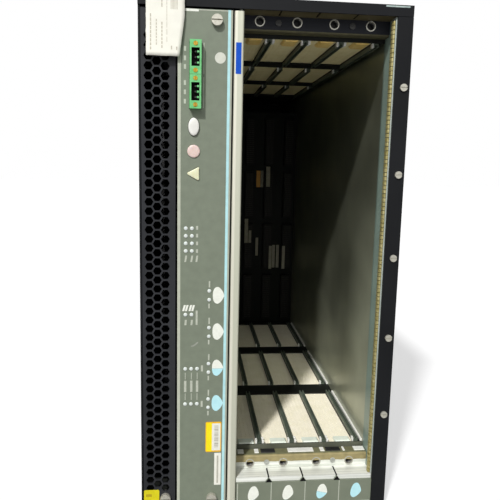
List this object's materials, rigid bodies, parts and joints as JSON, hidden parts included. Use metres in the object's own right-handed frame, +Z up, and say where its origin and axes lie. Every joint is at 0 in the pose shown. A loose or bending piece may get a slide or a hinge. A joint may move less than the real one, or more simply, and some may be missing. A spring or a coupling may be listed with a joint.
{
  "type": "router chassis",
  "caption": "Empty modular router chassis on its side: card cage with guides and rails, status panel, honeycomb air inlet, pull-out fan tray and air filter.",
  "frame": {"origin": "middle of the case's underside, as it stands in the picture", "axes": "+X to the right across the front, +Y from the front to the rear, +Z up"},
  "size_m": [0.221, 0.6554, 0.4434],
  "materials": {
    "shell_paint": "satin dark paint",
    "rear_paint": "satin dark paint",
    "panel_paint": "satin grey paint",
    "bare_aluminium": "brushed",
    "dark_chromate": "dark chromated",
    "zinc_sheet": "zinc plated sheet",
    "guide_paint": "satin",
    "guide_plastic": "moulded",
    "screen_cream": "perforated sheet",
    "clip_white": "moulded",
    "gasket": "metallised cloth over foam",
    "screw_steel": "nickel plated",
    "brass": "bare",
    "tin_plate": "dull tin plate",
    "terminal_green": "moulded",
    "button_white": "moulded",
    "red_lens": "clear tinted",
    "amber_lens": "clear tinted",
    "led_lens": "frosted",
    "circuit_board": "solder mask",
    "connector_black": "moulded",
    "fan_black": "moulded",
    "handle_paint": "satin dark paint",
    "filter_plate": "satin dark paint",
    "filter_foam": "open foam",
    "paper": "matt"
  },
  "bodies": {
    "chassis": {"alarm_terminal_lower": "terminal_green", "alarm_terminal_upper": "terminal_green", "amber_alarm_lens": "amber_lens", "bottom_panel": "shell_paint", "case_screws": "screw_steel", "craft_board": "circuit_board", "craft_panel": "panel_paint", "craft_posts": "zinc_sheet", "cutoff_switch": "connector_black", "divider_trim": "bare_aluminium", "divider_wall": "zinc_sheet", "flange_screws": "screw_steel", "front_captive_screws": "screw_steel", "ground_studs": "brass", "guide_clips": "clip_white", "left_cover": "shell_paint", "lower_card_guides": "guide_plastic", "lower_guide_panel": "guide_paint", "lower_rail": "bare_aluminium", "lower_screen": "screen_cream", "midplane_board": "circuit_board", "midplane_connectors": "connector_black", "midplane_frame": "zinc_sheet", "panel_bars": "guide_paint", "paper_tag": "paper", "power_backplane": "circuit_board", "power_bay_shelves": "zinc_sheet", "power_blank_screws": "screw_steel", "power_blanks": "rear_paint", "rail_bushes": "screw_steel", "rail_gaskets": "gasket", "rail_screws": "screw_steel", "rear_cover": "rear_paint", "red_alarm_lens": "red_lens", "right_inner_wall": "zinc_sheet", "right_panel": "shell_paint", "side_gasket": "gasket", "slot_label_plate": "panel_paint", "status_leds": "led_lens", "terminal_pins": "tin_plate", "terminal_screws": "brass", "top_panel": "shell_paint", "upper_card_guides": "guide_plastic", "upper_guide_panel": "guide_paint", "upper_rail": "dark_chromate", "upper_screen": "screen_cream", "vent_panel": "shell_paint", "wall_foot_strip": "clip_white"},
    "fan_tray": {"fan_tray_frame": "zinc_sheet", "fan_housings": "fan_black", "fan_tray_handle": "handle_paint", "fan_tray_screws": "screw_steel"},
    "fan_1": {"fan_rotor_1": "fan_black"},
    "fan_2": {"fan_rotor_2": "fan_black"},
    "fan_3": {"fan_rotor_3": "fan_black"},
    "filter_tray": {"filter_frame": "filter_plate", "filter_media": "filter_foam", "filter_screws": "screw_steel"},
    "cutoff_button": {"alarm_cutoff_button": "button_white"}
  },
  "joints": [
    {"name": "fan_tray_slide", "type": "slide", "parent": "chassis", "child": "fan_tray", "axis": [0, 1, 0], "range_m": [0, 0.56]},
    {"name": "fan_1_spin", "type": "hinge", "parent": "fan_tray", "child": "fan_1", "pos_m": [0.0344, -0.216, 0.02], "axis": [0, 0, 1], "continuous": true},
    {"name": "fan_2_spin", "type": "hinge", "parent": "fan_tray", "child": "fan_2", "pos_m": [0.0344, -0.074, 0.02], "axis": [0, 0, 1], "continuous": true},
    {"name": "fan_3_spin", "type": "hinge", "parent": "fan_tray", "child": "fan_3", "pos_m": [0.0344, 0.068, 0.02], "axis": [0, 0, 1], "continuous": true},
    {"name": "filter_tray_slide", "type": "slide", "parent": "chassis", "child": "filter_tray", "axis": [0, 1, 0], "range_m": [0, 0.56]},
    {"name": "alarm_cutoff_press", "type": "slide", "parent": "chassis", "child": "cutoff_button", "axis": [0, 1, 0], "range_m": [0, 0.0012], "stiffness_N_per_m": 400}
  ]
}
